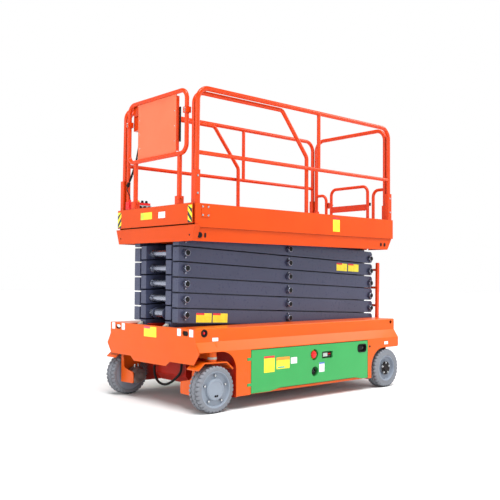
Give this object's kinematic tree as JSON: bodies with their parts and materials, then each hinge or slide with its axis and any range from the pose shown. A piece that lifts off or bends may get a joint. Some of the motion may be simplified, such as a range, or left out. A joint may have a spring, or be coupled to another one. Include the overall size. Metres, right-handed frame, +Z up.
{
  "type": "scissor lift",
  "caption": "Electric slab scissor lift: steered chassis, folding scissor stack, railed platform with a roll-out deck and rear gate",
  "frame": {"origin": "on the ground under the middle of the machine, where the bounding box's bottom face has its centre", "axes": "+X forward towards the steered wheels, +Y to the machine's left, +Z up"},
  "size_m": [2.693, 1.4, 2.697],
  "materials": {
    "orange_chassis": "gloss paint",
    "grey_cast": "satin paint",
    "dark_steel": "satin paint",
    "grey_tyre": "matte",
    "light_rim": "satin paint",
    "green_door": "gloss paint",
    "slate_arm": "satin paint",
    "orange_rail": "gloss paint",
    "grey_rail": "satin paint",
    "cylinder_black": "satin paint",
    "rod_chrome": "polished",
    "cord_black": "matte",
    "control_orange": "gloss",
    "battery_black": "matte",
    "pack_grey": "satin paint",
    "outlet_red": "gloss",
    "sticker_film": "semi gloss",
    "strap_web": "woven"
  },
  "bodies": {
    "chassis": {"side_skin_left": "orange_chassis", "side_skin_right": "orange_chassis", "wheel_bulkheads": "orange_chassis", "front_panel": "orange_chassis", "rear_panel": "orange_chassis", "chassis_frame": "dark_steel", "belly_box": "dark_steel", "front_axle": "dark_steel", "rear_axle": "dark_steel", "ladder": "grey_rail", "axle_hose": "cord_black"},
    "steer_left": {"knuckle_left": "orange_chassis", "drive_motor_left": "dark_steel"},
    "steer_right": {"knuckle_right": "orange_chassis", "drive_motor_right": "dark_steel"},
    "wheel_front_left": {"tyre_front_left": "grey_tyre", "rim_front_left": "light_rim"},
    "wheel_front_right": {"tyre_front_right": "grey_tyre", "rim_front_right": "light_rim"},
    "wheel_rear_left": {"tyre_rear_left": "grey_tyre", "rim_rear_left": "light_rim"},
    "wheel_rear_right": {"tyre_rear_right": "grey_tyre", "rim_rear_right": "light_rim"},
    "bay_left": {"door_left": "green_door", "tray_left": "grey_cast", "hydraulic_unit": "pack_grey"},
    "bay_right": {"door_right": "green_door", "tray_right": "grey_cast", "battery_pack": "battery_black"},
    "guard_left": {"pothole_guard_left": "grey_cast"},
    "guard_right": {"pothole_guard_right": "grey_cast"},
    "outer_1": {"outer_arm_1": "slate_arm"},
    "inner_1": {"inner_arm_1": "slate_arm"},
    "outer_2": {"outer_arm_2": "slate_arm"},
    "inner_2": {"inner_arm_2": "slate_arm"},
    "outer_3": {"outer_arm_3": "slate_arm"},
    "inner_3": {"inner_arm_3": "slate_arm"},
    "outer_4": {"outer_arm_4": "slate_arm"},
    "inner_4": {"inner_arm_4": "slate_arm"},
    "outer_5": {"outer_arm_5": "slate_arm"},
    "inner_5": {"inner_arm_5": "slate_arm"},
    "outer_6": {"outer_arm_6": "slate_arm"},
    "inner_6": {"inner_arm_6": "slate_arm"},
    "barrel": {"lift_barrel": "cylinder_black"},
    "rod": {"lift_rod": "rod_chrome"},
    "platform": {"platform_deck": "orange_rail", "side_rail_left": "orange_rail", "side_rail_right": "orange_rail", "rear_rail": "orange_rail"},
    "gate": {"gate": "orange_rail"},
    "extension": {"extension_deck": "orange_rail", "extension_rails": "orange_rail", "front_rail": "orange_rail", "control_box": "control_orange", "outlet_box": "outlet_red", "cord_coupler": "cord_black", "control_cord": "cord_black", "control_lead": "cord_black"}
  },
  "joints": [
    {"name": "steer_left", "type": "hinge", "parent": "chassis", "child": "steer_left", "pos_m": [1.156, 0.6365, 0.45], "axis": [0, 0, 1], "range_deg": [-45, 45]},
    {"name": "steer_right", "type": "hinge", "parent": "chassis", "child": "steer_right", "pos_m": [1.156, -0.6365, 0.45], "axis": [0, 0, 1], "range_deg": [-45, 45]},
    {"name": "wheel_front_left_spin", "type": "hinge", "parent": "steer_left", "child": "wheel_front_left", "pos_m": [1.156, 0.6365, 0.1905], "axis": [0, 1, 0], "continuous": true},
    {"name": "wheel_front_right_spin", "type": "hinge", "parent": "steer_right", "child": "wheel_front_right", "pos_m": [1.156, -0.6365, 0.1905], "axis": [0, 1, 0], "continuous": true},
    {"name": "wheel_rear_left_spin", "type": "hinge", "parent": "chassis", "child": "wheel_rear_left", "pos_m": [-1.064, 0.6365, 0.1905], "axis": [0, 1, 0], "continuous": true},
    {"name": "wheel_rear_right_spin", "type": "hinge", "parent": "chassis", "child": "wheel_rear_right", "pos_m": [-1.064, -0.6365, 0.1905], "axis": [0, 1, 0], "continuous": true},
    {"name": "door_left", "type": "hinge", "parent": "chassis", "child": "bay_left", "pos_m": [0.808, 0.69, 0.3], "axis": [0, 0, -1], "range_deg": [0, 95]},
    {"name": "door_right", "type": "hinge", "parent": "chassis", "child": "bay_right", "pos_m": [0.808, -0.69, 0.3], "axis": [0, 0, 1], "range_deg": [0, 95]},
    {"name": "guard_left", "type": "hinge", "parent": "chassis", "child": "guard_left", "pos_m": [0, 0.676, 0.121], "axis": [1, 0, 0], "range_deg": [0, 90]},
    {"name": "guard_right", "type": "hinge", "parent": "chassis", "child": "guard_right", "pos_m": [0, -0.676, 0.121], "axis": [-1, 0, 0], "range_deg": [0, 90]},
    {"name": "lift", "type": "hinge", "parent": "chassis", "child": "outer_1", "pos_m": [-1.245, 0, 0.65], "axis": [0, -1, 0], "range_deg": [0, 58.3]},
    {"name": "mid_1", "type": "hinge", "parent": "outer_1", "child": "inner_1", "pos_m": [-0.01925, 0, 0.7155], "axis": [0, -1, 0], "range_deg": [-116.7, 0]},
    {"name": "rear_1", "type": "hinge", "parent": "inner_1", "child": "outer_2", "pos_m": [-1.245, 0, 0.781], "axis": [0, -1, 0], "range_deg": [0, 116.7]},
    {"name": "mid_2", "type": "hinge", "parent": "outer_2", "child": "inner_2", "pos_m": [-0.01925, 0, 0.8465], "axis": [0, -1, 0], "range_deg": [-116.7, 0]},
    {"name": "rear_2", "type": "hinge", "parent": "inner_2", "child": "outer_3", "pos_m": [-1.245, 0, 0.912], "axis": [0, -1, 0], "range_deg": [0, 116.7]},
    {"name": "mid_3", "type": "hinge", "parent": "outer_3", "child": "inner_3", "pos_m": [-0.01925, 0, 0.9775], "axis": [0, -1, 0], "range_deg": [-116.7, 0]},
    {"name": "rear_3", "type": "hinge", "parent": "inner_3", "child": "outer_4", "pos_m": [-1.245, 0, 1.043], "axis": [0, -1, 0], "range_deg": [0, 116.7]},
    {"name": "mid_4", "type": "hinge", "parent": "outer_4", "child": "inner_4", "pos_m": [-0.01925, 0, 1.1085], "axis": [0, -1, 0], "range_deg": [-116.7, 0]},
    {"name": "rear_4", "type": "hinge", "parent": "inner_4", "child": "outer_5", "pos_m": [-1.245, 0, 1.174], "axis": [0, -1, 0], "range_deg": [0, 116.7]},
    {"name": "mid_5", "type": "hinge", "parent": "outer_5", "child": "inner_5", "pos_m": [-0.01925, 0, 1.2395], "axis": [0, -1, 0], "range_deg": [-116.7, 0]},
    {"name": "rear_5", "type": "hinge", "parent": "inner_5", "child": "outer_6", "pos_m": [-1.245, 0, 1.305], "axis": [0, -1, 0], "range_deg": [0, 116.7]},
    {"name": "mid_6", "type": "hinge", "parent": "outer_6", "child": "inner_6", "pos_m": [-0.01925, 0, 1.3705], "axis": [0, -1, 0], "range_deg": [-116.7, 0]},
    {"name": "platform_level", "type": "hinge", "parent": "inner_6", "child": "platform", "pos_m": [-1.245, 0, 1.436], "axis": [0, -1, 0], "range_deg": [0, 58.4]},
    {"name": "barrel_pivot", "type": "hinge", "parent": "inner_2", "child": "barrel", "pos_m": [-1.09022, 0, 0.90373], "axis": [0, -1, 0], "range_deg": [0, 126.1]},
    {"name": "rod_slide", "type": "slide", "parent": "barrel", "child": "rod", "axis": [0.9983, 0, 0.0579], "range_m": [0, 0.777]},
    {"name": "extension_slide", "type": "slide", "parent": "platform", "child": "extension", "axis": [1, 0, 0], "range_m": [0, 0.9]},
    {"name": "gate_hinge", "type": "hinge", "parent": "platform", "child": "gate", "pos_m": [-1.3, -0.3, 1.8], "axis": [0, 0, -1], "range_deg": [0, 90]}
  ],
  "couplings": [
    {"joint": "steer_right", "follows": "steer_left", "ratio": 1},
    {"joint": "mid_1", "follows": "lift", "ratio": -2},
    {"joint": "rear_1", "follows": "lift", "ratio": 2},
    {"joint": "mid_2", "follows": "lift", "ratio": -2},
    {"joint": "rear_2", "follows": "lift", "ratio": 2},
    {"joint": "mid_3", "follows": "lift", "ratio": -2},
    {"joint": "rear_3", "follows": "lift", "ratio": 2},
    {"joint": "mid_4", "follows": "lift", "ratio": -2},
    {"joint": "rear_4", "follows": "lift", "ratio": 2},
    {"joint": "mid_5", "follows": "lift", "ratio": -2},
    {"joint": "rear_5", "follows": "lift", "ratio": 2},
    {"joint": "mid_6", "follows": "lift", "ratio": -2},
    {"joint": "platform_level", "follows": "lift", "ratio": 1},
    {"joint": "barrel_pivot", "follows": "lift", "ratio": 2.1575},
    {"joint": "rod_slide", "follows": "lift", "m_per_rad": 0.76192}
  ]
}
